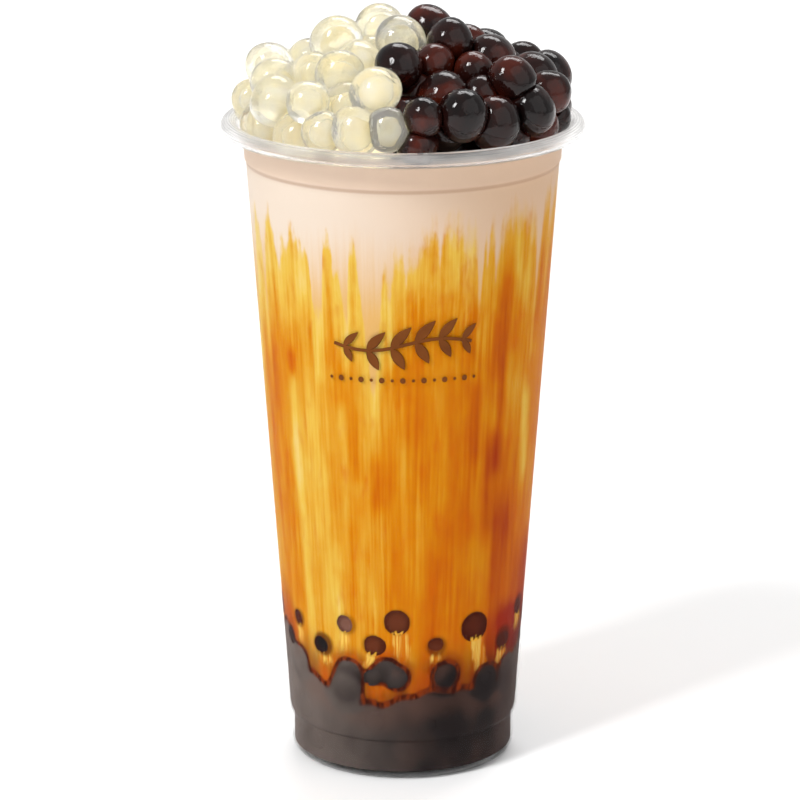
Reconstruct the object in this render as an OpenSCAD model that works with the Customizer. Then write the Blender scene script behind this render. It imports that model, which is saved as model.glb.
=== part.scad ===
// Bubble tea in a tall clear takeaway cup, heaped with white and black pearls.
// Millimetres, +Z up. The origin is the middle of the cup's foot, on the table.

/* [Cup] */
// Height of the cup, from the table to the top of its rim
cup_h = 173; // [140:1:210]
// Outer diameter of the rolled rim
rim_d = 95; // [78:1:116]
// How far the rim stands out past the wall below it
rim_overhang = 5.6; // [4.6:0.1:6.8]
// Outer radius of the rim's curl, seen in section
curl_r = 2; // [1.6:0.1:2.4]
// Thickness of the plastic
wall = 0.7; // [0.5:0.02:0.9]
// Height of the flared neck, from the stacking ledge to the top of the rim
neck_h = 10.5; // [8:0.1:13]
// How far the stacking ledge steps out
ledge = 0.4; // [0.3:0.05:0.6]
// Outer diameter of the wall at its foot, just above the base ring
foot_d = 61.8; // [51:0.2:72]
// How far the base ring is set in from the wall above it
base_inset = 1.1; // [0.8:0.1:1.4]
// Height of the base ring
base_h = 10.8; // [8:0.1:14]
// Height over which the wall rounds in to the base ring
foot_curve_h = 2.6; // [2:0.1:3.4]
// Radius of the rounded edge at the bottom of the base ring
base_round = 2.9; // [2.2:0.1:3.6]
// Height of the hollow under the floor of the cup
kick = 1.8; // [1:0.1:2.4]
// Width of the flat ring that the cup stands on
foot_w = 1.2; // [0.8:0.1:2]

/* [Drink] */
// How far the drink stands below the top of the rim
fill_drop = 4.3; // [3.5:0.1:6]
// Depth of the pale layer of milk tea
milk_depth = 28; // [18:1:36]
// Depth of the bed of pearls, from the floor to its flat level
bed_depth = 18.5; // [12:0.5:24]
// How many tongues of amber tea rise into the pale layer
tongues = 18; // [8:1:24]
// Height of the tallest tongue
tongue_h = 12; // [8:1:15]
// Radius of a tongue where it leaves the amber tea
tongue_r = 2.6; // [1.8:0.1:3.2]
// Clearance between the drink and the wall
fill_gap = 0.1; // [0.05:0.05:0.2]

/* [Pearls] */
// Diameter of a pearl in the heap
pearl_d = 12; // [10:0.1:14.4]
// Diameter of a pearl in the bed
bed_pearl_d = 11; // [9:0.1:13.4]
// How unequal the pearls are, as a share of their diameter
pearl_vary = 0.07; // [0:0.01:0.12]
// Height of the heap above the top of the rim
heap_h = 29.5; // [24:0.5:36]
// How far the outermost pearls stand in from the edge of the rim
heap_inset = 2.2; // [1.4:0.1:3]
// Spacing of the pearls in a ring, over their diameter
pearl_pack = 1.03; // [0.98:0.01:1.1]
// Turn of the line that parts the white pearls from the black, seen from above
split_turn = -5; // [-20:1:20]
// Gap between the two heaps, and between a pearl and the rim
rest_gap = 0.2; // [0.1:0.05:0.4]

/* [Hidden] */
$fn = 48;

rim_r = rim_d / 2;
shoulder_r = rim_r - rim_overhang;
neck_top_r = rim_r - 2 * curl_r + wall;
curl_z = cup_h - curl_r;
curl_mid_r = rim_r - curl_r;
ledge_z = cup_h - neck_h;
base_r = foot_d / 2 - base_inset;
stand_r = base_r - base_round;
floor_z = kick + wall;

fill_z = cup_h - fill_drop;
milk_z = fill_z - milk_depth;
bed_z = floor_z + bed_depth;

// A repeatable number from 0 to 1 for each whole number i.
function noise(i) = let (s = sin(i * 127.1 + 31.7) * 437.585) s - floor(s);

// The radius r of a pearl, made a little larger or smaller for the pearl numbered i.
function uneven(r, i) = r * (1 + pearl_vary * (2 * noise(i) - 1));

// Points on an arc round the point c, from angle a0 to a1.
function arc(c, r, a0, a1, steps) =
    [for (i = [0:steps]) let (a = a0 + (a1 - a0) * i / steps) c + r * [cos(a), sin(a)]];

// The outside of the wall from the base ring up to the curl, as [radius, height].
wall_line = concat(
    [[base_r, base_round]],
    [for (a = [0:30:90]) [base_r + base_inset * sin(a), base_h + foot_curve_h * (1 - cos(a))]],
    [[shoulder_r - ledge, ledge_z - 1.5 * ledge]],
    [for (t = [0:0.2:1]) [shoulder_r + (neck_top_r - shoulder_r) * t * t, ledge_z + (curl_z - ledge_z) * t]]
);
inside_line = [for (p = wall_line) [p[0] - wall, p[1]]];

// Radius of the inside of the wall at height z.
function inside_r(z) = lookup(z, [for (p = inside_line) [p[1], p[0]]]);

module cup() {
    tip = -70;
    curl_c = [curl_mid_r, curl_z];
    under = [[0, kick], [stand_r - foot_w - kick, kick], [stand_r - foot_w, 0], [stand_r, 0]];
    section = concat(
        under,
        arc([stand_r, base_round], base_round, -75, 0, 5),
        [for (i = [1:len(wall_line) - 2]) wall_line[i]],
        arc(curl_c, curl_r - wall, 180, tip, 12),
        arc(curl_c, curl_r, tip, 180, 12),
        [for (i = [len(inside_line) - 2:-1:1]) inside_line[i]],
        [[base_r - wall, floor_z], [0, floor_z]]
    );
    color("white", 0.35) rotate_extrude($fn = 96) polygon(section);
}

// What fills the cup between two heights, clear of the wall.
module filling(z0, z1) {
    between = [for (p = inside_line) if (p[1] > z0 + 0.05 && p[1] < z1 - 0.05) [p[0] - fill_gap, p[1]]];
    side = concat([[inside_r(z0) - fill_gap, z0]], between, [[inside_r(z1) - fill_gap, z1]]);
    rotate_extrude($fn = 96) polygon(concat([[0, z0]], side, [[0, z1]]));
}

// The pearls that show on top of the bed, in rings that clear the wall.
module bed_pearls() {
    r = bed_pearl_d / 2;
    pitch = 1.05 * bed_pearl_d;
    wall_clear = 0.6;
    rise = 0.45 * r;
    outer = inside_r(bed_z) - fill_gap - r * (1 + pearl_vary) - wall_clear;
    rings = round(outer / pitch);
    for (k = [0:rings]) {
        ring_r = outer * (1 - k / rings);
        count = max(1, floor(2 * PI * ring_r / pitch));
        for (i = [0:count - 1]) {
            id = 40 * k + i;
            turn = 360 * (i + 0.25 * noise(id + 7)) / count;
            rotate([0, 0, turn])
                translate([ring_r, 0, bed_z + rise * (noise(id + 3) - 0.1)])
                    sphere(r = uneven(r, id));
        }
    }
}

// Pointed tongues of amber tea that run up beside the wall.
module amber_tongues() {
    sunk = 1;
    tip_r = 0.2;
    wall_clear = 0.8;
    ring_r = inside_r(milk_z) - fill_gap - tongue_r - wall_clear;
    for (i = [0:tongues - 1]) {
        h = tongue_h * (0.45 + 0.55 * noise(i + 200));
        wide = tongue_r * (0.75 + 0.25 * noise(i + 300));
        turn = 360 * (i + 0.3 * noise(i + 400)) / tongues;
        rotate([0, 0, turn])
            translate([ring_r, 0, milk_z - sunk])
                cylinder(h = h + sunk, r1 = wide * (h + sunk) / h, r2 = tip_r);
    }
}

module pearl_bed() {
    color([0.2, 0.13, 0.1]) {
        filling(floor_z, bed_z);
        bed_pearls();
    }
}

module syrup_tea() {
    color([0.85, 0.5, 0.12]) {
        difference() {
            filling(bed_z, milk_z);
            bed_pearls();
        }
        amber_tongues();
    }
}

module milk_tea() {
    color([0.9, 0.8, 0.7]) difference() {
        filling(milk_z, fill_z);
        amber_tongues();
    }
}

// Height of the middle of a pearl of radius r that rests on the rim's curl, ring_r from the axis.
function rest_z(ring_r, r) =
    curl_z + sqrt(max(1, pow(r + curl_r + rest_gap, 2) - pow(curl_mid_r - ring_r, 2)));

// What the heap is before it is parted: a core that stands on the drink, up to a shallow dome.
module heap_core(top_z, edge_z, outer) {
    wall_clear = 1.2;
    rise = top_z - edge_z + pearl_d / 4;
    dome_r = (outer * outer + rise * rise) / (2 * rise);
    core_r = inside_r(fill_z) - wall_clear;
    intersection() {
        translate([0, 0, top_z - dome_r]) sphere(r = dome_r, $fn = 96);
        translate([0, 0, fill_z]) cylinder(r = core_r, h = fill_drop + heap_h, $fn = 96);
    }
}

// One side of the heap: half rings of pearls laid on the core, each ring in the hollows of the last.
module heap(side) {
    r = pearl_d / 2;
    pitch = pearl_pack * pearl_d;
    outer = rim_r - heap_inset - r;
    inner = 0.55 * pearl_d;
    edge_z = rest_z(outer, r);
    top_z = cup_h + heap_h - r;
    last = max(2, round(norm([outer - inner, top_z - edge_z]) / (0.87 * pitch)));
    start = 90 + split_turn + 180 * side;
    difference() {
        union() {
            heap_core(top_z, edge_z, outer);
            for (k = [0:last]) {
                ring_r = outer + (inner - outer) * k / last;
                ring_z = edge_z + (top_z - edge_z) * (1 - pow(ring_r / outer, 1.9));
                count = max(1, floor(PI * ring_r / pitch + 0.2));
                for (i = [0:count - 1]) {
                    id = 500 * side + 30 * k + i;
                    size = uneven(r, id);
                    jump = noise(id + 5);
                    turn = start + 180 * (i + 0.5 + 0.16 * (noise(id + 9) - 0.5)) / count;
                    z = k == 0 ? rest_z(ring_r, size) + jump : ring_z + 1.6 * (jump - 0.5);
                    rotate([0, 0, turn]) translate([ring_r, 0, z]) sphere(r = size);
                }
            }
        }
        // The half that belongs to the other colour.
        rotate([0, 0, start])
            translate([-rim_d, rest_gap / 2 - 2 * rim_d, 0])
                cube([2 * rim_d, 2 * rim_d, cup_h + heap_h + pearl_d]);
    }
}

module white_pearls() {
    color([0.93, 0.9, 0.75]) heap(0);
}

module black_pearls() {
    color([0.13, 0.06, 0.05]) heap(1);
}

cup();
pearl_bed();
syrup_tea();
milk_tea();
white_pearls();
black_pearls();
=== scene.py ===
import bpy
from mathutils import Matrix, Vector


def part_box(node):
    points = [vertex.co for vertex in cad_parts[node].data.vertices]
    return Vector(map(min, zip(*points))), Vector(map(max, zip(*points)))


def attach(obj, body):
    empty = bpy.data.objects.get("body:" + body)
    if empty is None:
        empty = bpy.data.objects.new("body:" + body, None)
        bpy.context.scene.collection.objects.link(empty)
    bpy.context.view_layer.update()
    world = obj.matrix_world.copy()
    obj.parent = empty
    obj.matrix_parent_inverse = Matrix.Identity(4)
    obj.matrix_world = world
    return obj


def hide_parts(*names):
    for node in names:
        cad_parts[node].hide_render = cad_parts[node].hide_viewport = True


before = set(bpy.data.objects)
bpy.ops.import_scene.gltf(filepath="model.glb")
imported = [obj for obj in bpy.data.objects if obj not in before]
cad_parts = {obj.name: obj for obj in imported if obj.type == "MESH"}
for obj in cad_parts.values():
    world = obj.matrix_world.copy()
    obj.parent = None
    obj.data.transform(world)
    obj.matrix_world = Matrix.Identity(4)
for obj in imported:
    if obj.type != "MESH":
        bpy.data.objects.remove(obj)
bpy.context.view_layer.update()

import bpy
import numpy as np
from mathutils import Vector

mm = 0.001
tau = 2 * np.pi

# sizes of the cup in mm: the frame gives its height, the rest is its outer wall
cup = {
    "height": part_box("cup")[1].z / mm,
    "rimRadius": 47.5,
    "wall": 0.7,
    "curlRadius": 2.0,
    "ledgeHeight": 162.5,  # top of the stacking ledge
    "ledgeStep": 0.4,  # how far the ledge steps out
    "ledgeRise": 0.6,  # height over which it does
    "shoulderRadius": 41.9,
    "footRadius": 30.9,
    "baseRadius": 29.8,
    "baseHeight": 10.8,
    "stepHeight": 2.6,
    "floorHeight": 2.5,
}
# heights in mm: top of the flat bed, foot and top of the pale tea, top of the heap
levels = {
    "bed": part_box("syrup_tea")[0].z / mm,
    "milk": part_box("milk_tea")[0].z / mm,
    "fill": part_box("milk_tea")[1].z / mm,
    "heap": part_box("white_pearls")[1].z / mm,
}


# a steady stream of random numbers for each piece
def dice(seed):
    return np.random.default_rng(seed)


# smooth step: 0 at low, 1 at high, an S-curve between; low may be above high
def smooth(low, high, value):
    t = np.clip((value - low) / (high - low), 0, 1)
    return t * t * (3 - 2 * t)


# an angle brought between minus half a turn and half a turn
def wrap(angle):
    return (angle + np.pi) % tau - np.pi


# radius of the inner wall at each height: a straight taper, a rounded step to the base ring, a flared neck
def wallRadius(z):
    curl = cup["height"] - cup["curlRadius"]
    neckTop = cup["rimRadius"] - 2 * cup["curlRadius"] + cup["wall"]
    rise = np.clip((z - cup["ledgeHeight"]) / (curl - cup["ledgeHeight"]), 0, 1)
    neck = cup["shoulderRadius"] + (neckTop - cup["shoulderRadius"]) * rise ** 2
    stepTop = cup["baseHeight"] + cup["stepHeight"]
    part = np.clip((z - cup["baseHeight"]) / cup["stepHeight"], 0, 1)
    step = cup["baseRadius"] + (cup["footRadius"] - cup["baseRadius"]) * np.sqrt(1 - (1 - part) ** 2)
    taper = np.interp(z, [stepTop, cup["ledgeHeight"] - cup["ledgeRise"], cup["ledgeHeight"]],
                      [cup["footRadius"], cup["shoulderRadius"] - cup["ledgeStep"], cup["shoulderRadius"]])
    outside = np.where(z > cup["ledgeHeight"], neck, np.where(z < stepTop, step, taper))
    return outside - cup["wall"]


# points at a turn from the front (to the right is positive), a height and a distance from the axis
def roundAxis(turn, height, rho):
    turn, height, rho = np.broadcast_arrays(turn, height, rho)
    return np.stack([rho * np.sin(turn), -rho * np.cos(turn), height], -1)


# turn from the front, and height, of each point
def turnAndHeight(points):
    return np.arctan2(points[..., 0], -points[..., 1]), points[..., 2]


# a mesh object from vertices in mm and arrays of faces, each array holding faces of one size
def buildMesh(name, vertices, faces, sharpAngle=None):
    mesh = bpy.data.meshes.new(name)
    mesh.vertices.add(len(vertices))
    mesh.vertices.foreach_set("co", (np.asarray(vertices) * mm).astype(np.float32).ravel())
    corners = np.concatenate([f.ravel() for f in faces]).astype(np.int32)
    sizes = np.concatenate([np.full(len(f), f.shape[1]) for f in faces])
    mesh.loops.add(len(corners))
    mesh.loops.foreach_set("vertex_index", corners)
    mesh.polygons.add(len(sizes))
    mesh.polygons.foreach_set("loop_start", (np.cumsum(sizes) - sizes).astype(np.int32))
    mesh.polygons.foreach_set("use_smooth", np.ones(len(sizes), dtype=bool))
    mesh.update(calc_edges=True)
    mesh.validate()
    if sharpAngle is not None:
        mesh.set_sharp_from_angle(angle=np.radians(sharpAngle))
    piece = bpy.data.objects.new(name, mesh)
    bpy.context.scene.collection.objects.link(piece)
    return piece


# faces of a grid whose columns run round and join up; a pole closes the first row with a fan, and another the
# last row, unless that stays open
def gridFaces(rows, columns, endPole=True):
    index = np.arange(rows * columns).reshape(rows, columns)
    across = np.roll(index, -1, axis=1)
    faces = [np.stack([index[:-1], across[:-1], across[1:], index[1:]], -1).reshape(-1, 4),
             np.stack([np.full(columns, rows * columns), across[0], index[0]], -1)]
    if endPole:
        faces.append(np.stack([np.full(columns, rows * columns + 1), index[-1], across[-1]], -1))
    return faces


# one mesh from many copies of the same closed grid: points has one row of vertices for each copy
def joinedMesh(name, points, rows, columns):
    count, size = points.shape[:2]
    shift = size * np.arange(count)[:, None, None]
    faces = [(part[None] + shift).reshape(-1, part.shape[1]) for part in gridFaces(rows, columns)]
    return buildMesh(name, points.reshape(-1, 3), faces)


# a number for each vertex, kept on the mesh as an attribute that materials read
def addField(piece, name, values):
    field = piece.data.attributes.new(name, "FLOAT", "POINT")
    field.data.foreach_set("value", np.asarray(values, dtype=np.float32).ravel())


# gives a piece its material and its body, and hides the solids that it stands for; its slot is not used
def finishPiece(piece, material, slot, *nodes):
    piece.data.materials.append(material)
    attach(piece, "root")
    if nodes:
        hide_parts(*nodes)
    print(piece.name, len(piece.data.polygons), "faces")


# a short way to place nodes: each call makes one node, sets its fields and links its inputs
class Shader:
    def __init__(self, tree):
        self.tree = tree

    # a socket takes a plain value, or is linked where the value is another node's output
    def feed(self, socket, value):
        if isinstance(value, bpy.types.NodeSocket):
            self.tree.links.new(value, socket)
        else:
            socket.default_value = value

    # a socket of the material's own shader
    def finish(self, socket, value):
        self.feed(self.tree.nodes["Principled BSDF"].inputs[socket], value)

    def node(self, kind, inputs=None, **fields):
        made = self.tree.nodes.new("ShaderNode" + kind)
        for field, value in fields.items():
            setattr(made, field, value)
        for key, value in (inputs or {}).items():
            self.feed(made.inputs[key], value)
        return made

    def math(self, operation, a, b=0.0, c=0.0, clamp=False):
        return self.node("Math", {0: a, 1: b, 2: c}, operation=operation, use_clamp=clamp).outputs[0]

    # value times gain, plus shift
    def scaled(self, value, gain, shift=0.0):
        return self.math("MULTIPLY_ADD", value, gain, shift)

    def mix(self, factor, a, b):
        return self.node("Mix", {0: factor, 6: a, 7: b}, data_type="RGBA").outputs[2]

    # 0 at low, 1 at high, smooth between; low may be above high
    def step(self, low, high, value):
        made = self.node("MapRange", {0: value, 1: low, 2: high, 3: 0.0, 4: 1.0},
                         interpolation_type="SMOOTHSTEP")
        return made.outputs[0]

    # coordinates stretched by a factor along each axis
    def stretched(self, vector, scale):
        return self.node("Mapping", {"Vector": vector, "Scale": scale}).outputs[0]

    def noise(self, vector, scale, detail=2.0, roughness=0.5):
        return self.node("TexNoise", {"Vector": vector, "Scale": scale, "Detail": detail,
                                      "Roughness": roughness}).outputs["Fac"]

    # colours along a ramp, each stop a place from 0 to 1 and its colour
    def ramp(self, factor, stops):
        made = self.node("ValToRGB", {"Fac": factor})
        ramp = made.color_ramp
        while len(ramp.elements) < len(stops):
            ramp.elements.new(0.5)
        for element, (place, colour) in zip(ramp.elements, stops):
            element.position = place
            element.color = colour
        return made.outputs["Color"]

    # a number that the mesh carries for each vertex
    def field(self, name):
        return self.node("Attribute", attribute_name=name).outputs["Fac"]

    # where the point is on the piece, in metres
    def place(self):
        return self.node("TexCoord").outputs["Object"]


# a colour given as 0-255 screen values, turned to linear light
def paint(red, green, blue):
    screen = np.array([red, green, blue]) / 255
    light = np.where(screen <= 0.04045, screen / 12.92, ((screen + 0.055) / 1.055) ** 2.4)
    return (*[float(v) for v in light], 1.0)


# a material with the given sockets set, and its shader helper
def newMaterial(name, sockets):
    material = bpy.data.materials.new(name)
    material.use_nodes = True
    shader = Shader(material.node_tree)
    for socket, value in sockets.items():
        shader.finish(socket, value)
    return material, shader


# an empty node group with named inputs and outputs, its shader helper, and its two end nodes
def newGroup(name, inputs, outputs):
    group = bpy.data.node_groups.new(name, "ShaderNodeTree")
    for direction, sockets in (("INPUT", inputs), ("OUTPUT", outputs)):
        for socket, kind in sockets.items():
            group.interface.new_socket(socket, in_out=direction, socket_type="NodeSocket" + kind)
    return group, Shader(group), group.nodes.new("NodeGroupInput"), group.nodes.new("NodeGroupOutput")


# a node group placed in a material, with its own values
def placeGroup(material, group, values):
    made = material.node_tree.nodes.new("ShaderNodeGroup")
    made.node_tree = group
    for socket, value in values.items():
        made.inputs[socket].default_value = value
    return made


# directions of a round grid from pole to pole, with the two poles last
def pearlDirections(grid):
    rings, columns = grid
    polar = np.pi - np.pi * (np.arange(rings) + 1) / (rings + 1)
    turn = tau * np.arange(columns) / columns
    ring = np.stack([np.outer(np.sin(polar), np.cos(turn)), np.outer(np.sin(polar), np.sin(turn)),
                     np.outer(np.cos(polar), np.ones_like(turn))], -1).reshape(-1, 3)
    return np.vstack([ring, [0, 0, -1], [0, 0, 1]])


# pearls as one array: each is its radius times a round grid, swollen by three slow sine waves
def pearlVertices(centres, radii, random, lumps, grid, waves=(1.6, 2.4, 3.6)):
    directions = pearlDirections(grid)
    count = len(centres)
    swell = np.ones((count, len(directions)))
    for frequency in waves:
        axes = random.normal(size=(count, 3))
        axes *= frequency / np.linalg.norm(axes, axis=1, keepdims=True)
        swell += lumps * np.sin(axes @ directions.T + random.uniform(0, tau, (count, 1)))
    return centres[:, None] + radii[:, None, None] * swell[..., None] * directions


# presses pearls flat where two meet: points past the plane that parts them are drawn back to it, half a gap
# short; two meet when their distance is under meet times the sum of their radii
def pressTogether(points, centres, radii, gap=0.03, neighbours=12, meet=1.03):
    count = len(centres)
    offset = centres[None] - centres[:, None]
    distance = np.linalg.norm(offset, axis=2) + 1e6 * np.eye(count)
    near = np.argsort(distance, axis=1)[:, :min(neighbours, count - 1)]
    rows = np.arange(count)
    for k in range(near.shape[1]):
        other = near[:, k]
        apart = distance[rows, other]
        normal = offset[rows, other] / apart[:, None]
        reach = (apart ** 2 + radii ** 2 - radii[other] ** 2) / (2 * apart) - gap / 2
        past = np.einsum("nvk,nk->nv", points - centres[:, None], normal) - reach[:, None]
        past = np.clip(past, 0, None) * (apart < meet * (radii + radii[other]))[:, None]
        points = points - past[..., None] * normal[:, None]
    return points


heap = {
    "grid": (16, 28),  # rings and columns of one pearl
    "topPearls": 52,  # pearls on the outside of the heap
    "underPearls": 42,  # pearls just under them
    "radius": 6.2,  # mean radius
    "spread": 0.15,  # how unequal they are
    "outer": 39.0,  # furthest that a pearl's middle lies from the axis
    "edgeHeight": 176.8,  # height of the middle of the outermost pearls
    "topHeight": 200.2,  # height that the middle of the topmost pearl is drawn to
    "power": 1.9,  # height falls with distance from the axis to this power
    "uneven": (-0.8, 2.4),  # how far an outside pearl may lie below the dome's surface
    "under": 8.4,  # depth of the second layer below the first
    "underInset": 5.0,  # how far the second layer keeps inside the first
    "rounds": 260,  # rounds of settling
    "push": 0.35,  # share of an overlap undone in each round
    "draw": 0.25,  # share of the way back to its layer that a pearl goes in each round
    "touch": 0.98,  # distance at which two pearls push, over the sum of their radii
    "rimGap": 0.15,  # gap between a pearl and the rim's curl
    "topGap": 0.3,  # the heap stays this far under its solid's top
    "lumps": 0.032,  # height of each slow wave on a pearl, over its radius
    "heart": 0.55,  # size of the cloudy heart in a white pearl, as a share of the pearl
    "heartShift": np.array([0.15, 0.1, -0.3]),
    "splitTurn": np.radians(85),
    "sway": (1.6, 0.16, 0.8),  # how far the line between the colours wanders, how fast and from where
}


# height of the middles of the outside pearls over a point rho from the axis: it falls from the top height to
# the edge's with rho's share of the outer distance, to a power
def domeHeight(rho):
    fall = (rho / heap["outer"]) ** heap["power"]
    return heap["topHeight"] + (heap["edgeHeight"] - heap["topHeight"]) * fall


# pearls start in a sunflower pattern and are pushed apart until none overlaps much,
# while each is drawn to its layer and kept off the rim's curl
def settlePearls():
    random = dice(11)
    counts = (heap["topPearls"], heap["underPearls"])
    centres, radii, depth = [], [], []
    for layer, count in enumerate(counts):
        reach = heap["outer"] - heap["underInset"] * layer
        order = np.arange(count)
        rho = reach * np.sqrt((order + 0.5) / count)
        turn = order * np.pi * (3 - np.sqrt(5)) + layer
        low = layer * heap["under"] + random.uniform(*heap["uneven"], count) * (1 - layer)
        centres.append(roundAxis(turn, domeHeight(rho) - low, rho))
        radii.append(heap["radius"] * (1 + heap["spread"] * random.uniform(-1, 1, count)))
        depth.append(low)
    centres, radii, depth = np.vstack(centres), np.concatenate(radii), np.concatenate(depth)
    curl = np.array([cup["rimRadius"] - cup["curlRadius"], cup["height"] - cup["curlRadius"]])
    for step in range(heap["rounds"]):
        offset = centres[:, None] - centres[None]
        distance = np.linalg.norm(offset, axis=2) + 1e6 * np.eye(len(centres))
        overlap = np.clip((radii[:, None] + radii[None]) * heap["touch"] - distance, 0, None)
        centres += heap["push"] * (offset / distance[..., None] * overlap[..., None]).sum(1)
        rho = np.hypot(centres[:, 0], centres[:, 1])
        layerHeight = domeHeight(np.minimum(rho, heap["outer"])) - depth
        centres[:, 2] += heap["draw"] * (layerHeight - centres[:, 2])
        centres[:, :2] *= np.minimum(1, heap["outer"] / rho)[:, None]
        rho = np.minimum(rho, heap["outer"])
        away = np.stack([rho, centres[:, 2]], 1) - curl
        reach = np.linalg.norm(away, axis=1)
        lift = np.clip(radii + cup["curlRadius"] + heap["rimGap"] - reach, 0, None) / reach
        centres[:, 2] += lift * np.abs(away[:, 1])
        centres[:, :2] *= (1 + lift * away[:, 0] / rho)[:, None]
    highest = (centres[:, 2] + radii).max()
    print("heap settled, its top at", round(float(highest), 1), "mm")
    roof = levels["heap"] - heap["topGap"] - radii * (1 + 2 * heap["lumps"])
    centres[:, 2] = np.minimum(centres[:, 2], roof)
    return centres, radii


# which side of the wavy line between the two colours each point is on, in mm: white is positive
def whiteSide(x, y):
    turn = heap["splitTurn"]
    sway, rate, start = heap["sway"]
    along = x * np.cos(turn) + y * np.sin(turn)
    return -x * np.sin(turn) + y * np.cos(turn) + sway * np.sin(along * rate + start)


heapCore = {
    "slices": 13,
    "arcPoints": 40,  # points on the round side of a slice
    "chordPoints": 14,  # and on its flat side
    "stand": 0.2,  # how far it stands off the drink
    "waist": 33.0,  # half-width of the core at the top of the rim
    "dome": 34.0,  # half-width of the dome above it
    "roof": 13.5,  # how far its top lies under the top of the heap
    "power": 0.55,  # the dome's width goes with the depth under its top to this power
    "flare": 1.0,  # how much wider its foot is than its waist
    "gap": 0.012,  # share of the width by which each half stands off the split
}


# what lies under the pearls: half a dome whose slices are D-shaped, from the drink up
def makeCore(name, side):
    top = levels["heap"] - heapCore["roof"]
    dome = np.linspace(cup["height"], top - 0.1, heapCore["slices"] - 1)
    heights = np.concatenate([[levels["fill"] + heapCore["stand"]], dome])
    depth = ((top - heights).clip(0) / (top - cup["height"])).clip(0, 1)
    width = heapCore["dome"] * depth ** heapCore["power"]
    width[0] = heapCore["waist"] + heapCore["flare"]
    width[1] = heapCore["waist"]
    half = np.linspace(0, np.pi, heapCore["arcPoints"])
    start = heap["splitTurn"] + (0 if side > 0 else np.pi)
    arc = np.stack([np.cos(start + half), np.sin(start + half)], 1)
    chord = np.linspace(arc[-1], arc[0], heapCore["chordPoints"])[1:-1]
    away = np.array([np.cos(start + np.pi / 2), np.sin(start + np.pi / 2)])
    outline = np.vstack([arc, chord]) + heapCore["gap"] * away
    slices = np.dstack([np.outer(width, outline[:, 0]), np.outer(width, outline[:, 1]),
                        np.outer(heights, np.ones(len(outline)))])
    middle = outline.mean(0)
    poles = [[width[0] * middle[0], width[0] * middle[1], heights[0]],
             [width[-1] * middle[0], width[-1] * middle[1], heights[-1]]]
    return buildMesh(name, np.vstack([slices.reshape(-1, 3), poles]),
                     gridFaces(len(heights), len(outline)), sharpAngle=40)


# what is sunk in the tea: each pearl's turn from the front in degrees, its height, the half-width of the
# patch that it presses on the wall, the length of the pale stem under it, and its tone from black (0) to
# grey-brown (1)
sunk = {
    "front": [(-69, 35.0, 2.7, 0.0, 0.05), (-58, 41.4, 2.2, 6.0, 0.35), (-41, 36.4, 3.0, 3.0, 0.0),
              (-27, 43.4, 2.5, 6.5, 0.95), (-14, 38.4, 2.6, 6.0, 0.6), (-2.6, 45.2, 3.2, 9.5, 0.65),
              (16, 38.0, 2.5, 2.5, 0.5), (35, 42.2, 3.6, 14.0, 0.4), (56, 36.0, 3.1, 5.0, 0.3),
              (71, 43.0, 2.6, 5.0, 0.35)],
    "others": 11,  # pearls round the back
    "radius": 5.4,
    "lumps": 0.05,  # height of each slow wave on a pearl, over its radius
    "proud": 0.06,  # how far pearls reach past the drink's side, into the wall
    "grid": (31, 56),
}
# the uneven top of the bed: mounds of packed pearls (turn, height, half-width in mm), and single pearls
# that stand on it (turn, height of the middle, half-width)
bed = {
    "level": 21.6,  # height of the bed between its mounds
    "mounds": [(-70, 31.0, 9.0), (-44, 25.5, 7.0), (22, 25.6, 13.0), (47, 23.0, 8.0), (76, 30.0, 8.0)],
    "lumps": [(-60, 29.5, 4.2), (-27, 29.6, 4.4), (-29, 25.0, 5.2), (-8, 31.4, 3.8), (-3, 29.4, 3.6),
              (-14, 29.6, 2.4), (21, 29.4, 4.2), (45, 26.2, 4.6), (62, 26.5, 4.8)],
    "backMounds": 7,
    "backLumps": 13,
    "rows": (8.2, 17.0),  # heights of the pearls packed below
    "ring": 24.5,  # distance of their middles from the axis
    "pitch": 10.2,  # spacing round that ring
    "shift": (0.15, 0.7),  # how far each strays: as a share of the spacing, and up or down in mm
    "patch": (2.6, 3.4),  # half-width of the patch that each presses on the wall
    "radius": 5.6,
}


# the listed features at the front, and a count of others drawn at random round the back
def withBack(front, count, random, *spans):
    edge = 84  # the front ends at this many degrees to either side
    stray = 4
    turns = np.linspace(edge, 360 - edge, count) + random.uniform(-stray, stray, count)
    drawn = np.stack([turns] + [random.uniform(low, high, count) for low, high in spans], 1)
    rows = np.vstack([front, drawn])
    rows[:, 0] = wrap(np.radians(rows[:, 0]))
    return rows


# pearls that press on the wall: each middle is as far in as its radius and the half-width of its patch say
def againstWall(turn, height, patch, radius):
    return roundAxis(turn, height, wallRadius(height) - np.sqrt(radius ** 2 - patch ** 2))


# the sunk pearls, the pearls that stand on the bed and the mounds, each with those round the back
def sunkRows():
    return withBack(sunk["front"], sunk["others"], dice(23), (35, 45), (2.3, 3.5), (2, 12), (0, 1))


def lumpRows():
    return withBack(bed["lumps"], bed["backLumps"], dice(5), (25, 31), (3.6, 5.0))


def moundRows():
    return withBack(bed["mounds"], bed["backMounds"], dice(6), (22, 31), (6, 13))


# middles and radii of the bed's pearls: those that stand on it, and two rings packed below
def bedPearls():
    random = dice(8)
    lumps = lumpRows()
    centres = [againstWall(lumps[:, 0], lumps[:, 1], 0.5 * lumps[:, 2], bed["radius"])]
    for row, height in enumerate(bed["rows"]):
        count = int(tau * bed["ring"] / bed["pitch"])
        aside, up = bed["shift"]
        turn = tau * (np.arange(count) + 0.5 * row + random.uniform(-aside, aside, count)) / count
        patch = random.uniform(*bed["patch"], count)
        centres.append(againstWall(turn, height + random.uniform(-up, up, count), patch, bed["radius"]))
    centres = np.vstack(centres)
    return centres, np.full(len(centres), bed["radius"])


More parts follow.
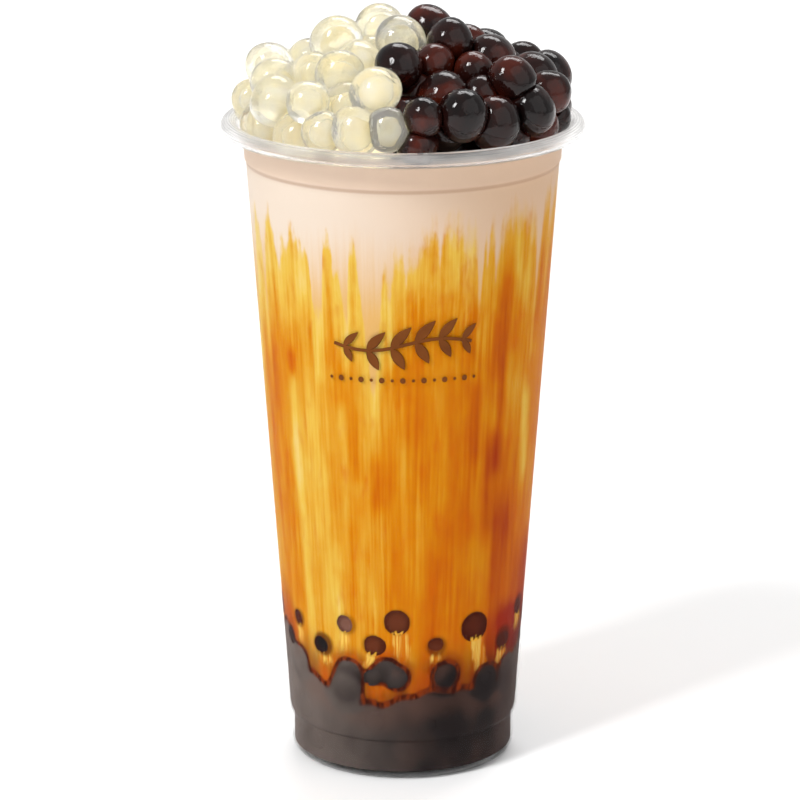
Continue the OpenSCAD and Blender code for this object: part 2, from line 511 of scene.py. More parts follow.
# keeps points inside the drink's glassy side: anything past the wall's inside by more than into is drawn back
def holdInWall(points, into):
    rho = np.hypot(points[..., 0], points[..., 1])
    limit = wallRadius(points[..., 2]) + into
    points[..., :2] *= np.minimum(1, limit / np.maximum(rho, 1e-6))[..., None]
    return points


streaked = {
    "columns": 600,
    "into": 0.1,  # how far the drink reaches into the wall
    "closeTo": 52.0,  # rows are close together up to this height
    "closeRow": 0.5,  # distance between them there
    "meanRadius": 37.0,  # radius of the wall on which streaks are as wide as given
    "valley": 127.0,  # height of the line where the pale tea begins, where nothing crosses it
    # amber flames that rise into the pale tea: turn, height of the tip, half-width 9 mm below it
    "flames": [(-73, 149, 3.4), (-60, 148, 3.0), (-52, 143, 3.0), (-45, 147, 2.8), (-41, 144, 2.6),
               (-29.5, 146, 1.6), (-27, 138, 2.4), (-19, 145, 1.4), (-15, 137, 2.2), (-7.5, 138, 2.0),
               (-1.5, 142, 2.2), (4, 141, 2.6), (9, 146, 2.6), (11.5, 149, 1.4), (19, 150, 3.4),
               (26, 148, 2.0), (34, 149, 1.8), (42, 149, 3.0), (48, 151, 3.6), (56, 148, 3.2),
               (68, 153, 2.6), (78, 153, 3.6)],
    "backFlames": 26,
    # pale tongues that hang into the amber: turn, height of the tip, half-width 25 mm above it
    "tongues": [(-12, 105, 2.6), (-35.5, 129, 2.6), (-23, 131, 2.4), (-54, 136, 2.4), (1, 136, 1.6),
                (33, 140, 1.6), (63, 142, 2.2)],
    "backTongues": 12,
    # strokes of light and dark: turn, lowest and highest point, half-width, strength, and how many degrees
    # they lean in 100 mm
    "strokes": [(-49, 26, 112, 1.8, 0.20, 5), (-50, 96, 128, 4.0, -0.06, 0), (-36, 30, 108, 6.0, 0.12, 12),
                (-64, 34, 116, 5.5, -0.13, 0), (-68, 40, 84, 1.0, -0.10, 0), (-50, 110, 117, 1.8, -0.22, 0),
                (-20, 84, 97, 1.8, -0.13, 20), (-9, 76, 91, 3.2, -0.09, 0), (-26, 96, 104, 1.2, 0.12, 0),
                (-19, 80, 95, 1.6, 0.10, 0), (4, 96, 136, 4.0, -0.04, 0), (12, 100, 138, 3.0, 0.05, 0),
                (8, 30, 104, 14, -0.03, 0), (31, 88, 110, 1.8, -0.16, 0), (42, 84, 96, 2.8, -0.18, 0),
                (43, 97, 116, 1.0, -0.20, 0), (42, 112, 142, 3.2, -0.17, 0), (52, 110, 132, 1.4, -0.12, 0),
                (53, 102, 140, 4.0, 0.12, 0), (43, 66, 92, 9.0, -0.10, 0), (49, 34, 76, 4.2, -0.24, 3),
                (62, 78, 106, 2.6, 0.26, 16), (72, 46, 84, 4.0, 0.08, 0),
                (61, 20, 44, 8.0, -0.42, 0), (74, 18, 62, 7.0, -0.32, 0), (26, 40, 80, 1.6, -0.08, 0)],
    "backStrokes": 34,
    "backLength": (12, 44),  # shortest of these, and how much longer the longest is
    "lean": 0.09,  # how much paler the left is than the middle, and the right darker: partly the tea's own colour, partly painted light from the left and painted shade on the right
}


# height of the line where the pale tea begins: the highest of a wavy valley and the flames, each falling from
# its blunt tip as the square of the distance and eight times its fourth power, cut by the lowest of the
# tongues, each rising from its tip as 25 times the distance to the power 1.3; both count in half-widths
def paleLine(turn):
    random = dice(31)
    valley = streaked["valley"] + 3 * np.sin(3 * turn + 1) + 2 * np.sin(7 * turn)
    flames = withBack(streaked["flames"], streaked["backFlames"], random, (136, 153), (1.1, 3.4))
    tongues = withBack(streaked["tongues"], streaked["backTongues"], random, (108, 138), (1.6, 4.2))
    radius = wallRadius(np.array(levels["milk"]))
    aside = radius * np.abs(wrap(turn - flames[:, :1])) / flames[:, 2:]
    line = np.maximum((flames[:, 1:2] - aside ** 2 - 8 * aside ** 4).max(0), valley)
    aside = radius * np.abs(wrap(turn - tongues[:, :1])) / tongues[:, 2:]
    return np.minimum(line, (tongues[:, 1:2] + 25 * aside ** 1.3).min(0))


# light and dark of the amber: a lean from left to right, partly painted light and shade, and soft strokes
# with a bell-shaped section
def toneField(turn, height):
    rows = withBack(streaked["strokes"], streaked["backStrokes"], dice(37),
                    (26, 90), (0, 1), (1.0, 6), (-0.2, 0.2), (-8, 8))
    drawn = rows[len(streaked["strokes"]):]
    shortest, longer = streaked["backLength"]
    drawn[:, 2] = drawn[:, 1] + shortest + longer * drawn[:, 2]
    # the lean: paler to the left and darker to the right, partly painted light and shade
    tone = -streaked["lean"] * np.sin(turn)
    for middle, low, high, width, strength, lean in rows:
        drift = np.radians(lean) * (height - (low + high) / 2) / 100
        across = wrap(turn - middle + drift) * wallRadius(height) / width
        soft = 0.16 * (high - low) + 1
        ends = smooth(low - soft, low + soft, height) * smooth(high + soft, high - soft, height)
        tone = tone + strength * np.exp(-across ** 2) * ends
    return tone


# how much of the bed shows: under the mounds' bell-shaped outline, or within a pearl that stands on it; the
# dark red glow of syrup that lies over it, and the painted light and shade of its lumps, kept as relief: lit
# tops and left sides, shaded lower sides and gaps, and a random tone for each
def bedFields(turn, height):
    outline = bed["level"] + 0.5 * np.sin(9 * turn) + 0.4 * np.sin(23 * turn + 2)
    radius = wallRadius(height)
    for middle, top, width in moundRows():
        outline = outline + (top - bed["level"]) * np.exp(-(wrap(turn - middle) * radius / width) ** 2)
    clear = smooth(-3.0, 3.0, height - outline)
    glow = smooth(16.0, 1.0, height - outline)
    # painted light: a lit band just under the bed's top edge
    relief = 0.3 * smooth(8.0, 0.0, np.abs(height - outline + 3.0)) + 0 * turn
    random = dice(43)
    for middle, centre, width in lumpRows():
        across, up = wrap(turn - middle) * radius, height - centre
        away = np.hypot(across, up) - width
        clear = clear * smooth(-2.2, 1.6, away)
        glow = np.maximum(glow, smooth(5.0, 0.0, away))
        # painted light on each lump's top and left side and painted shade below it, with a random tone for
        # each lump
        lit = (0.3 * up - 0.15 * across) / width + random.uniform(-0.3, 0.3)
        inside = smooth(0.4, -2.4, away)
        # and a ring of painted shade round each lump, in the gaps between them
        relief = relief * (1 - inside) + lit * inside - 0.3 * smooth(2.6, 0.0, np.abs(away - 0.6))
    return 1 - clear, glow, relief


# the dark that each sunk pearl throws round itself, and the pale stem that hangs under it where one is given
def pearlFields(turn, height):
    random = dice(41)
    radius = wallRadius(height)
    shade, stem = np.zeros_like(turn + height), np.zeros_like(turn + height)
    for middle, centre, patch, length, tone in sunkRows():
        across, up = wrap(turn - middle) * radius, height - centre
        shade = np.maximum(shade, smooth(1.0, -0.4, np.hypot(across, up) - patch) * (1 - 0.4 * tone))
        width = patch * random.uniform(0.5, 0.66)
        sway = across + 0.14 * random.normal() * up + 0.2 * np.sin(1.9 * up)
        ragged = up + 0.5 * np.sin(4.1 * sway + centre) + 0.4 * np.sin(8.7 * sway + 2 * centre)
        body = smooth(width + 0.6, width - 0.5, np.abs(sway)) * (0.86 + 0.14 * np.sin(6.3 * sway + centre))
        drop = max(length, 1)
        body = body * smooth(-patch - drop, -patch - 0.3 * drop, ragged) * (length > 1)
        stem = np.maximum(stem, body * smooth(-0.8 * patch, -1.05 * patch, ragged))
    return shade, stem


# side of the drink between two levels: columns round the wall and rows up it, closed by a floor and a lid
def drinkPiece(name, heights):
    turn = tau * np.arange(streaked["columns"]) / streaked["columns"] - np.pi
    grid = roundAxis(turn, heights[:, None], wallRadius(heights)[:, None] + streaked["into"])
    poles = [[0, 0, heights[0]], [0, 0, heights[-1]]]
    piece = buildMesh(name, np.vstack([grid.reshape(-1, 3), poles]),
                      gridFaces(len(heights), streaked["columns"]), sharpAngle=50)
    turn, height = turnAndHeight(grid)
    shade, stem = pearlFields(turn, height)
    cover, glow, relief = bedFields(turn, height)
    fields = {"bed": cover, "glow": glow, "relief": relief, "shade": shade, "stem": stem,
              "tone": toneField(turn, height), "above": height - paleLine(turn[0])}
    for field, values in fields.items():
        addField(piece, field, np.concatenate([values.ravel(), values[[0, -1], 0]]))
    return piece


# heights of the rows of the drink's three layers: close together at the step of the base ring and round the
# sunk pearls
def layerHeights():
    ringTop = cup["baseHeight"]
    stepTop = ringTop + cup["stepHeight"]
    foot = np.concatenate([np.linspace(cup["floorHeight"] - 0.1, ringTop - 0.1, 6),
                           np.linspace(ringTop + 0.1, stepTop, 8),
                           np.linspace(stepTop + 0.6, levels["bed"], 9)])
    amber = np.concatenate([np.arange(levels["bed"], streaked["closeTo"], streaked["closeRow"]),
                            np.linspace(streaked["closeTo"], levels["milk"], 50)])
    pale = np.concatenate([np.linspace(levels["milk"], cup["ledgeHeight"] - 0.7, 14),
                           np.linspace(cup["ledgeHeight"], levels["fill"], 8)])
    return foot, amber, pale


# pearls seen through the wall, a hair outside the drink's side where they press on it
def wallPearls(name, centres, radii, random, grid):
    points = pearlVertices(centres, radii, random, sunk["lumps"], grid)
    points = holdInWall(points, streaked["into"] + sunk["proud"])
    return joinedMesh(name, points, *grid), points


# the sunk pearls, with fields for their colour: the heart is 1 in the middle of the pressed patch and falls
# to 0 at its edge
def makeSunkPearls(material):
    rows = sunkRows()
    patches, tones = rows[:, 2], rows[:, 4]
    radii = np.full(len(rows), sunk["radius"])
    centres = againstWall(rows[:, 0], rows[:, 1], patches, radii)
    piece, points = wallPearls("sunkPearls", centres, radii, dice(3), sunk["grid"])
    turn, height = turnAndHeight(points)
    middle, centre = turnAndHeight(centres[:, None])
    away = np.hypot(wrap(turn - middle) * wallRadius(height), height - centre)
    addField(piece, "heart", smooth(1.0, 0.45, away / patches[:, None]))
    addField(piece, "tone", np.repeat(tones, points.shape[1]))
    addField(piece, "stem", pearlFields(turn, height)[1])
    finishPiece(piece, material, "pearl_bed")


# the bed's pearls, which carry the same painted light and shade as the bed behind them
def makeBedPearls(material):
    piece, points = wallPearls("bedPearls", *bedPearls(), dice(4), heap["grid"])
    addField(piece, "relief", bedFields(*turnAndHeight(points))[2])
    finishPiece(piece, material, "pearl_bed", "pearl_bed")


clearWall = {
    "alpha": 0.25,  # how solid the wall looks, where the rim has 1
    "hazeAndGlow": (168.4, 170.5),  # heights between which the wall turns to the hazy rim with its painted glow
    "rimGlow": 0.13,  # strength of the painted glow that stands in for light scattered inside the rim
    "rough": (0.06, 0.22),  # roughness of the wall and of the rim
    "wallTint": (paint(252, 253, 253), paint(246, 248, 248)),
    "rimTint": paint(226, 225, 224),
    # colour of the painted glow in the rim
    "rimGlowTint": paint(250, 248, 246),
}


# the cup's plastic: see-through on the wall, hazier and greyer at the rim, which has a painted glow in soft
# streaks, with faint drawn lines
def clearPlastic():
    material, shader = newMaterial("clearPlastic", {
        "IOR": 1.25, "Transmission Weight": 1.0, "Specular Tint": (0.7, 0.7, 0.7, 1),
        "Emission Strength": clearWall["rimGlow"]})
    place = shader.place()
    low, high = clearWall["hazeAndGlow"]
    rim = shader.step(low * mm, high * mm, shader.node("SeparateXYZ", {0: place}).outputs[2])
    wallRough, rimRough = clearWall["rough"]
    shader.finish("Roughness", shader.scaled(rim, rimRough - wallRough, wallRough))
    shader.finish("Alpha", shader.scaled(rim, 1 - clearWall["alpha"], clearWall["alpha"]))
    # painted glow in the rim, in soft streaks, for light scattered inside it
    hazeAndGlow = shader.noise(shader.stretched(place, (70, 70, 420)), 1.0, 3.0)
    hazeAndGlow = shader.math("MULTIPLY", rim, shader.scaled(shader.step(0.3, 0.7, hazeAndGlow), 0.5, 0.5))
    shader.finish("Emission Color", shader.mix(hazeAndGlow, paint(0, 0, 0), clearWall["rimGlowTint"]))
    drawn = shader.noise(shader.stretched(place, (60, 60, 9)), 1.0, 2.0)
    bump = shader.node("Bump", {"Height": drawn, "Strength": 0.05, "Distance": 0.001})
    shader.finish("Normal", bump.outputs[0])
    tint = shader.mix(shader.noise(place, 40.0, 1.0), *clearWall["wallTint"])
    shader.finish("Base Color", shader.mix(rim, tint, clearWall["rimTint"]))
    return material


bedLook = {
    "left": (paint(98, 87, 82), paint(138, 124, 117)),
    "right": (paint(26, 21, 22), paint(56, 49, 48)),
    "edge": paint(104, 82, 76),  # painted sheen of the wall at the far right, where it turns away
    # painted light on the lumps' tops, also taken where the slow patches are pale
    "litAndPale": paint(124, 88, 74),
    # painted shade on the lumps' lower sides and in the gaps, also taken where the slow patches are dark
    "hollow": paint(20, 15, 16),
    "dim": 0.2,  # share of black, which makes up for the bright wall in front
}


# dark, cloudy bed of packed pearls: paler to the left, with slow patches and the painted light and shade of
# its lumps, which the mesh carries as relief
def bedMurk():
    group, shader, given, result = newGroup("bedMurk", {}, {"Color": "Color"})
    place = shader.place()
    aside = shader.node("SeparateXYZ", {0: place}).outputs[0]
    patches = shader.noise(shader.stretched(place, (110, 110, 70)), 1.0, 3.0)
    left = shader.mix(patches, *bedLook["left"])
    right = shader.mix(patches, *bedLook["right"])
    body = shader.mix(shader.step(-0.036, 0.010, aside), left, right)
    # painted sheen of the wall where it turns away at the far right
    edge = shader.scaled(shader.step(0.022, 0.031, aside), 0.5)
    body = shader.mix(edge, body, bedLook["edge"])
    # above 0 the colour turns to the lit one and below 0 to the shaded one: painted light and shade, with the
    # slow patches
    relief = shader.scaled(patches, 0.5, shader.math("ADD", shader.field("relief"), -0.25))
    body = shader.mix(shader.math("MULTIPLY", relief, 0.9, clamp=True), body, bedLook["litAndPale"])
    body = shader.mix(shader.math("MULTIPLY", relief, -0.9, clamp=True), body, bedLook["hollow"])
    shader.feed(result.inputs["Color"], shader.mix(bedLook["dim"], body, paint(0, 0, 0)))
    return group


teaLook = {
    # kinds of streak: width and height on the wall in mm, detail, seed, how far they bend
    "streaks": {
        "broad": (9.0, 42.0, 2.0, 3.0, 1.0),
        "middling": (2.8, 36.0, 2.0, 11.0, 0.6),
        "fine": (1.1, 34.0, 2.0, 23.0, 0.3),
        "hair": (0.55, 24.0, 2.0, 57.0, 0.2),
        "torn": (1.6, 4.4, 3.0, 71.0, 0.5),
        "patches": (6.0, 9.0, 3.0, 41.0, 0.8),
        "mottle": (3.4, 12.0, 3.0, 91.0, 0.6),
    },
    # how much each kind roughens the pale line in mm, and how much it lightens the amber
    "ragged": {"middling": 13.0, "fine": 6.0, "torn": 11.0},
    "lightens": {"broad": 0.28, "middling": 0.34, "fine": 0.22, "hair": 0.2, "patches": 0.2},
    "amber": [(0.06, paint(160, 44, 22)), (0.20, paint(186, 76, 18)), (0.36, paint(212, 108, 10)),
              (0.50, paint(224, 138, 16)), (0.62, paint(232, 168, 50)), (0.76, paint(240, 198, 84)),
              (0.92, paint(246, 218, 140))],
    "mottle": paint(214, 92, 10),
    "cream": (paint(246, 228, 210), paint(232, 196, 164)),  # to the left and to the right: the right's browner, partly the tea's own colour and partly painted shade
    "creamTop": paint(238, 206, 180),
    # painted shade line where the cup's ledge steps out
    "ledge": paint(176, 128, 98),
    "wisps": paint(234, 178, 84),
    "syrup": (paint(190, 76, 18), paint(124, 36, 16)),
    "syrupRight": paint(92, 24, 18),
    "stem": (paint(255, 216, 100), paint(222, 124, 26)),
    "shade": paint(84, 30, 14),
    "fringe": (paint(64, 27, 18), paint(136, 56, 22)),
    "dim": 0.24,  # share of black, which makes up for the bright wall in front
}


# every kind of streak: noise on the direction from the axis, as fine as the mean radius over the streak's
# width, and on the height over the streak's height, bent a little by a slow wander
def wallStreaks(shader, place, split, height):
    flat = shader.node("CombineXYZ", {0: split.outputs[0], 1: split.outputs[1]}).outputs[0]
    aim = shader.node("VectorMath", {0: flat}, operation="NORMALIZE").outputs[0]
    aim = shader.node("SeparateXYZ", {0: aim})
    wander = shader.noise(place, 28.0, 1.0)
    streaks = {}
    for kind, (across, tall, detail, seed, bend) in teaLook["streaks"].items():
        turn = streaked["meanRadius"] / across
        shift = shader.scaled(wander, bend)
        vector = shader.node("CombineXYZ", {
            0: shader.scaled(aim.outputs[0], turn, shift), 1: shader.scaled(aim.outputs[1], turn, shift),
            2: shader.scaled(height, 1 / tall, seed)})
        streaks[kind] = shader.noise(vector.outputs[0], 1.0, detail, 0.55)
    return streaks


# a value with some kinds of streak added, each times its own gain
def withStreaks(shader, value, streaks, gains):
    for kind, gain in gains.items():
        value = shader.scaled(streaks[kind], gain, value)
    return value


# the amber: light and dark with its tone and streaks, golden just under the pale line, mottled with orange
def amberColour(shader, streaks, above):
    depth = shader.math("ADD", shader.field("tone"), -0.11)
    depth = withStreaks(shader, depth, streaks, teaLook["lightens"])
    depth = shader.scaled(shader.step(-30.0, 0.0, above), 0.22, depth)
    mottle = shader.scaled(shader.step(0.54, 0.78, streaks["mottle"]), 0.5)
    return shader.mix(mottle, shader.ramp(depth, teaLook["amber"]), teaLook["mottle"])


# the pale tea: browner to the right, partly painted shade there, and above the ledge, with a thin painted
# shade line at the ledge and wisps of amber
def creamColour(shader, streaks, lean, height):
    cream = shader.mix(lean, *teaLook["cream"])
    top = shader.step(cup["ledgeHeight"] - 2.0, cup["ledgeHeight"] + 1.0, height)
    cream = shader.mix(shader.scaled(top, 0.6), cream, teaLook["creamTop"])
    # a thin painted shade line at the cup's ledge
    fromLedge = shader.scaled(height, 1.0, cup["ledgeRise"] - cup["ledgeHeight"])
    line = shader.step(0.8, 0.2, shader.math("ABSOLUTE", fromLedge))
    cream = shader.mix(shader.scaled(line, 0.4), cream, teaLook["ledge"])
    wisps = shader.math("ADD", streaks["broad"], streaks["fine"])
    wisps = shader.scaled(wisps, 14.0, shader.scaled(height, -1.0, -14.0))
    wisps = shader.scaled(shader.step(-153.0, -126.0, wisps), 0.85)
    return shader.mix(wisps, cream, teaLook["wisps"])


# the foot of the drink: dark syrup over the bed, pale stems under the sunk pearls, and the shade round them
def footColour(shader, streaks, aside, tea):
    syrup = shader.mix(shader.step(0.38, 0.62, streaks["patches"]), *teaLook["syrup"])
    syrup = shader.mix(shader.step(-0.006, 0.024, aside), syrup, teaLook["syrupRight"])
    tea = shader.mix(shader.scaled(shader.field("glow"), 0.8), tea, syrup)
    stem = shader.mix(shader.step(0.4, 0.62, streaks["fine"]), *teaLook["stem"])
    tea = shader.mix(shader.scaled(shader.field("stem"), 0.9), tea, stem)
    return shader.mix(shader.scaled(shader.field("shade"), 0.85), tea, teaLook["shade"])


# streaks of syrup and milk down the wall, over the fields that the mesh carries, and the bed at their foot
def streakedTea(murk):
    material, shader = newMaterial("streakedTea", {"Roughness": 0.6, "Specular IOR Level": 0.0})
    place = shader.place()
    split = shader.node("SeparateXYZ", {0: place})
    aside = split.outputs[0]
    height = shader.scaled(split.outputs[2], 1 / mm)
    streaks = wallStreaks(shader, place, split, height)

    # where the pale tea ends, roughened by the finer streaks; softer to the right
    # runs from left to right: softens the pale line to the right, and in the cream brings the browner right,
    # partly painted shade
    lean = shader.step(-0.03, 0.036, aside)
    above = withStreaks(shader, shader.field("above"), streaks, teaLook["ragged"])
    above = shader.math("SUBTRACT", above, 15.5)
    pale = shader.mix(lean, shader.step(-1.5, 4.0, above), shader.step(-4.0, 8.0, above))
    cream = creamColour(shader, streaks, lean, height)
    tea = shader.mix(pale, amberColour(shader, streaks, above), cream)
    tea = footColour(shader, streaks, aside, tea)

    # the torn edge of the bed: a fringe of syrup, then the bed itself
    deep = shader.scaled(shader.field("bed"), 1.5, -0.6)
    deep = shader.scaled(streaks["patches"], 0.6, shader.scaled(streaks["torn"], 0.5, deep))
    fringe = shader.mix(shader.step(0.42, 0.64, streaks["torn"]), *teaLook["fringe"])
    tea = shader.mix(shader.step(0.15, 0.55, deep), tea, fringe)
    tea = shader.mix(teaLook["dim"], tea, paint(0, 0, 0))
    dark = placeGroup(material, murk, {}).outputs["Color"]
    shader.finish("Base Color", shader.mix(shader.step(0.8, 1.25, deep), tea, dark))
    return material


# speckle and faint relief of a wet, sticky skin
def wetSkin():
    group, shader, given, result = newGroup(
        "wetSkin", {"Scale": "Float", "Relief": "Float"},
        {"Cloud": "Float", "Gloss": "Float", "Normal": "Vector"})
    place = shader.place()
    cloud = shader.noise(place, given.outputs["Scale"], 3.0)
    grain = shader.noise(place, shader.math("MULTIPLY", given.outputs["Scale"], 6.0), 2.0)
    relief = shader.scaled(grain, 0.35, cloud)
    bump = shader.node("Bump", {"Height": relief, "Strength": given.outputs["Relief"], "Distance": 0.001})
    shader.feed(result.inputs["Cloud"], cloud)
    shader.feed(result.inputs["Gloss"], shader.scaled(grain, 0.1, 0.02))
    shader.feed(result.inputs["Normal"], bump.outputs[0])
    return group


# a pearl's jelly: its colour follows the skin's cloud from low to high, its gloss and relief the skin's grain
def pearlMaterial(name, skin, look):
    material, shader = newMaterial(name, look["sockets"])
    effect = placeGroup(material, skin, {"Scale": look["scale"], "Relief": look["relief"]})
    shader.finish("Base Color", shader.ramp(effect.outputs["Cloud"], look["colours"]))
    shader.finish("Roughness", effect.outputs["Gloss"])
    shader.finish("Normal", effect.outputs["Normal"])
    return material


sunkLook = {
    "middle": [(0.0, paint(34, 30, 31)), (0.35, paint(84, 34, 24)), (0.65, paint(108, 56, 36)),
               (1.0, paint(128, 90, 78))],
    "rim": paint(52, 16, 10),
    "foot": paint(240, 178, 60),
    "dim": 0.2,  # share of black, which makes up for the bright wall in front
}


# pearls sunk in the tea: a cloudy middle and a darker rim, and the stem's yellow at the foot
def sunkMaterial():
    material, shader = newMaterial("sunkJelly", {"Roughness": 0.5, "Specular IOR Level": 0.0})
    mottle = shader.noise(shader.place(), 420.0, 3.0)
    tone = shader.scaled(mottle, 0.3, shader.math("ADD", shader.field("tone"), -0.15))
    middle = shader.ramp(tone, sunkLook["middle"])
    colour = shader.mix(shader.field("heart"), shader.mix(0.55, middle, sunkLook["rim"]), middle)
    foot = shader.step(0.25, 0.8, shader.field("stem"))
    colour = shader.mix(foot, colour, sunkLook["foot"])
    shader.finish("Base Color", shader.mix(sunkLook["dim"], colour, paint(0, 0, 0)))
    return material


# the bed's pearls are as murky as the bed
def bedMaterial(murk):
    material, shader = newMaterial("bedJelly", {"Roughness": 0.5, "Specular IOR Level": 0.0})
    shader.finish("Base Color", placeGroup(material, murk, {}).outputs["Color"])
    return material


printed = {
    "height": 121.5,  # middle of the printed sprig
    "thick": 0.03,  # how far the ink stands off the wall
    "stem": 0.45,  # half-width of the stem
    "wave": 1.6,  # how far the stem bends up and down
    "reach": 19.0,  # half-length of the sprig
    "pairs": 6,
    "leaf": 7.4,  # length of the largest leaf
    "leafWide": 1.55,  # half-width of the largest leaf
    "leafAngle": 52,  # degrees between a leaf and the stem's line
    "leafBend": 0.9,  # how far a leaf's tip bends aside
    "dots": 15,
    "dotSizes": (0.45, 0.75),
    "dotHeight": -9.5,  # row of dots, below the middle
    "rows": 18,  # points along a stroke
    "section": 8,  # and round it
    "ink": (paint(88, 44, 12), paint(120, 66, 22)),
}


# ink strokes laid on the wall: along each path the section is a flat oval, as wide as the path says there
def inkStrokes(paths, widths):
    along = np.gradient(paths, axis=1)
    along /= np.maximum(np.linalg.norm(along, axis=2, keepdims=True), 1e-9)
    beside = np.stack([-along[..., 1], along[..., 0]], -1)
    around = tau * np.arange(printed["section"]) / printed["section"]
    flat = paths[:, :, None] + beside[:, :, None] * (widths[..., None] * np.cos(around))[..., None]
    lift = cup["wall"] + printed["thick"] * (0.3 + 0.7 * np.sin(around)) + 0 * widths[..., None]
    flat = np.concatenate([flat.reshape(len(paths), -1, 2), paths[:, :1], paths[:, -1:]], 1)
    lift = np.concatenate([lift.reshape(len(paths), -1), np.full((len(paths), 2), cup["wall"])], 1)
    height = printed["height"] + flat[..., 1]
    radius = wallRadius(height) + lift
    return roundAxis(flat[..., 0] / radius, height, radius)


# a plain sprig: a stem in one sine wave, pairs of pointed leaves whose width follows a sine along their
# length, and a row of round dots
def printPiece(material):
    t = np.linspace(0.02, 0.98, printed["rows"])
    reach = printed["reach"]
    wave = printed["wave"]
    stem = np.stack([reach * (2 * t - 1), wave * np.sin(np.pi * (2 * t - 1))], 1)
    paths, widths = [stem], [np.full_like(t, printed["stem"])]
    for foot in np.linspace(-0.82, 0.82, printed["pairs"]):
        start = np.array([reach * foot, wave * np.sin(np.pi * foot)])
        size = 1 - 0.45 * foot ** 2
        for side in (1, -1):
            aim = np.radians(side * printed["leafAngle"])
            bend = side * printed["leafBend"] * t ** 2
            leaf = printed["leaf"] * size * t
            paths.append(start + np.stack([leaf * np.cos(aim) + bend, leaf * np.sin(aim)], 1))
            widths.append(printed["leafWide"] * size * np.sin(np.pi * t) ** 0.8 * (1.1 - 0.4 * t))
    for k in range(printed["dots"]):
        place = np.array([reach * (2 * k / (printed["dots"] - 1) - 1), printed["dotHeight"]])
        size = printed["dotSizes"][k % 2]
        paths.append(place + np.stack([size * (2 * t - 1), 0 * t], 1))
        widths.append(size * np.sqrt(1 - (2 * t - 1) ** 2))
    points = inkStrokes(np.array(paths), np.array(widths))
    piece = joinedMesh("printedSprig", points, printed["rows"], printed["section"])
    finishPiece(piece, material, "cup")


# matt brown ink, a little mottled
def brownInk():
    material, shader = newMaterial("brownInk", {"Roughness": 0.6, "Specular IOR Level": 0.1})
    mottle = shader.noise(shader.place(), 260.0, 3.0)
    shader.finish("Base Color", shader.mix(mottle, *printed["ink"]))
    return material


# finish of each kind of pearl and of the cores under them: scale of the skin's cloud, depth of its relief,
# colours from the cloud's low parts to its high ones, and the shader's own sockets, where the white ones'
# emission is a painted glow
pearlLooks = {
    "whiteJelly": {
        "scale": 160.0, "relief": 0.4,
        "colours": [(0.34, paint(255, 249, 226)), (0.5, paint(255, 253, 242)), (0.64, paint(253, 253, 255))],
        # a faint painted glow, for light scattered in the jelly
        "sockets": {"Transmission Weight": 0.88, "IOR": 1.22, "Coat Weight": 0.4, "Coat Roughness": 0.04,
                    "Emission Color": paint(255, 252, 238), "Emission Strength": 0.03},
    },
    "milkHeart": {
        "scale": 210.0, "relief": 0.2,
        "colours": [(0.36, paint(255, 243, 204)), (0.5, paint(255, 251, 232)), (0.62, paint(250, 249, 246))],
        # a faint painted glow, for light scattered in the heart
        "sockets": {"Transmission Weight": 0.75, "IOR": 1.06, "Specular IOR Level": 0.0,
                    "Emission Color": paint(255, 246, 214), "Emission Strength": 0.03},
    },
    "blackJelly": {
        "scale": 90.0, "relief": 0.6,
        "colours": [(0.32, paint(74, 24, 12)), (0.48, paint(34, 12, 9)), (0.66, paint(13, 6, 6))],
        "sockets": {"Coat Weight": 0.2, "Coat Roughness": 0.03, "IOR": 1.3},
    },
    "whiteHeart": {
        "scale": 90.0, "relief": 0.2,
        "colours": [(0.3, paint(255, 242, 196)), (0.7, paint(254, 250, 232))],
        # a painted glow, for light scattered through the white pearls over the core
        "sockets": {"Emission Color": paint(255, 246, 214), "Emission Strength": 0.15},
    },
    "blackHeart": {
        "scale": 90.0, "relief": 0.2,
        "colours": [(0.3, paint(18, 8, 7)), (0.7, paint(10, 5, 5))],
        "sockets": {},
    },
}

skin = wetSkin()
murk = bedMurk()
plastic = clearPlastic()
tea = streakedTea(murk)
jelly = {name: pearlMaterial(name, skin, look) for name, look in pearlLooks.items()}
print("materials made")

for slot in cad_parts["cup"].material_slots:
    slot.material = plastic

footHeights, amberHeights, paleHeights = layerHeights()
finishPiece(drinkPiece("bedSyrup", footHeights), tea, "pearl_bed", "pearl_bed")
finishPiece(drinkPiece("amberTea", amberHeights), tea, "syrup_tea", "syrup_tea")
finishPiece(drinkPiece("paleTea", paleHeights), tea, "milk_tea", "milk_tea")
makeSunkPearls(sunkMaterial())
makeBedPearls(bedMaterial(murk))
print("drink made")

printPiece(brownInk())

centres, radii = settlePearls()
white = whiteSide(centres[:, 0], centres[:, 1]) > 0
points = pearlVertices(centres, radii, dice(17), heap["lumps"], heap["grid"])
points = pressTogether(points, centres, radii)
middles = centres[:, None] + heap["heartShift"]
hearts = middles + heap["heart"] * (points - centres[:, None])
for name, shapes, look, node in (("whitePearls", points[white], "whiteJelly", "white_pearls"),
                                 ("whiteHearts", hearts[white], "milkHeart", "white_pearls"),
                                 ("blackPearls", points[~white], "blackJelly", "black_pearls")):
    finishPiece(joinedMesh(name, shapes, *heap["grid"]), jelly[look], node, node)
finishPiece(makeCore("whiteCore", 1), jelly["whiteHeart"], "white_pearls", "white_pearls")
finishPiece(makeCore("blackCore", -1), jelly["blackHeart"], "black_pearls", "black_pearls")
print("heap made:", int(white.sum()), "white and", int((~white).sum()), "black pearls")


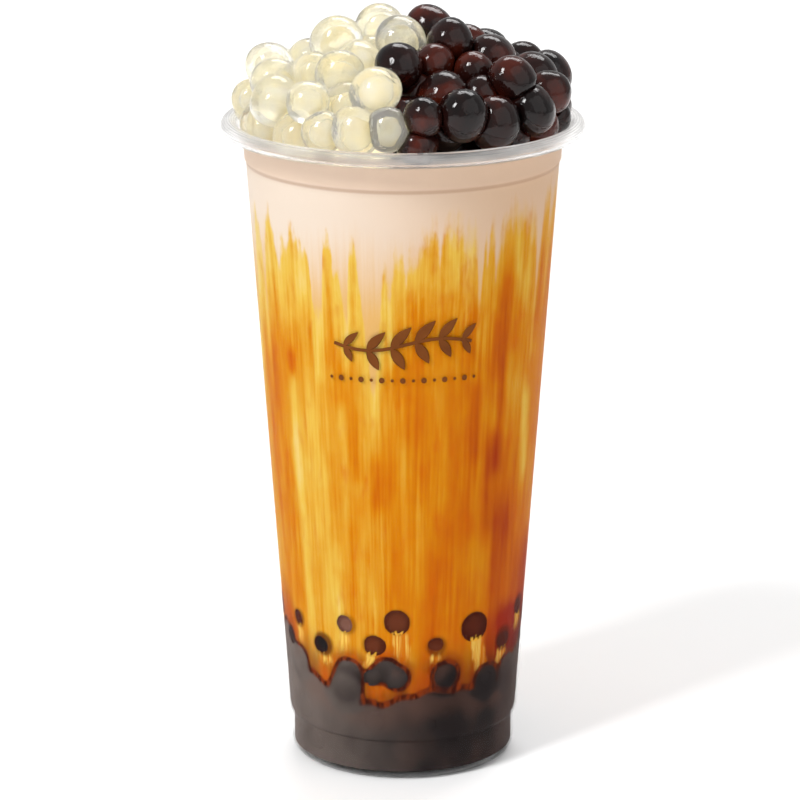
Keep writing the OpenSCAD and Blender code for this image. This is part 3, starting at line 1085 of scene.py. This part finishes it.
stage = {
    "floorSize": 6.0,  # across, in metres
    "floorColumns": 64,
    "floorTint": (paint(247, 247, 247), paint(250, 250, 250)),
    "key": ((-1.6, -1.6, 2.4), (0.7, 1.2), 84.0),  # place, size and power of each soft light
    "fill": ((1.9, -1.6, 1.7), (3.6, 3.4), 24.0),
    "top": ((0.4, 1.5, 2.2), (1.8, 0.9), 34.0),
    "world": 0.5,  # light from all round
}


# the floor is a round, flat disc
def makeFloor():
    columns = stage["floorColumns"]
    turn = tau * np.arange(columns) / columns
    rings = np.array([0.5, 1.0])[:, None] * stage["floorSize"] / 2 / mm
    points = roundAxis(-turn, 0 * rings, rings)
    points = np.vstack([points.reshape(-1, 3), [[0, 0, 0]]])
    floor = buildMesh("floor", points, gridFaces(2, columns, endPole=False))
    material, shader = newMaterial("paleFloor", {"Roughness": 0.6})
    speck = shader.noise(shader.place(), 30.0, 2.0)
    shader.finish("Base Color", shader.mix(speck, *stage["floorTint"]))
    floor.data.materials.append(material)


# a soft rectangular light that faces the cup
def softbox(name, place, size, power, target=(0, 0, 0.12)):
    light = bpy.data.lights.new(name, "AREA")
    light.shape = "RECTANGLE"
    light.size, light.size_y = size
    light.energy = power
    lamp = bpy.data.objects.new(name, light)
    lamp.location = place
    lamp.rotation_euler = (Vector(target) - Vector(place)).to_track_quat("-Z", "Y").to_euler()
    bpy.context.scene.collection.objects.link(lamp)


def makeWorld():
    world = bpy.data.worlds.new("studio")
    world.use_nodes = True
    world.node_tree.nodes["Background"].inputs["Color"].default_value = (1, 1, 1, 1)
    world.node_tree.nodes["Background"].inputs["Strength"].default_value = stage["world"]
    bpy.context.scene.world = world


# the camera looks down at the cup by its elevation, from its distance in metres
def makeCamera():
    view = {"distance": 1.1, "elevation": np.radians(15.71), "aim": (-0.00073, 0, 0.0963), "lens": 186.7}
    camera = bpy.data.objects.new("camera", bpy.data.cameras.new("camera"))
    camera.data.lens = view["lens"]
    back = Vector((0, -np.cos(view["elevation"]), np.sin(view["elevation"])))
    camera.location = Vector(view["aim"]) + back * view["distance"]
    camera.rotation_euler = (-back).to_track_quat("-Z", "Y").to_euler()
    bpy.context.scene.collection.objects.link(camera)
    bpy.context.scene.camera = camera


makeFloor()
for lamp in ("key", "fill", "top"):
    softbox(lamp, *stage[lamp])
makeWorld()
makeCamera()
bpy.context.scene.view_settings.view_transform = "Standard"
print("stage set")
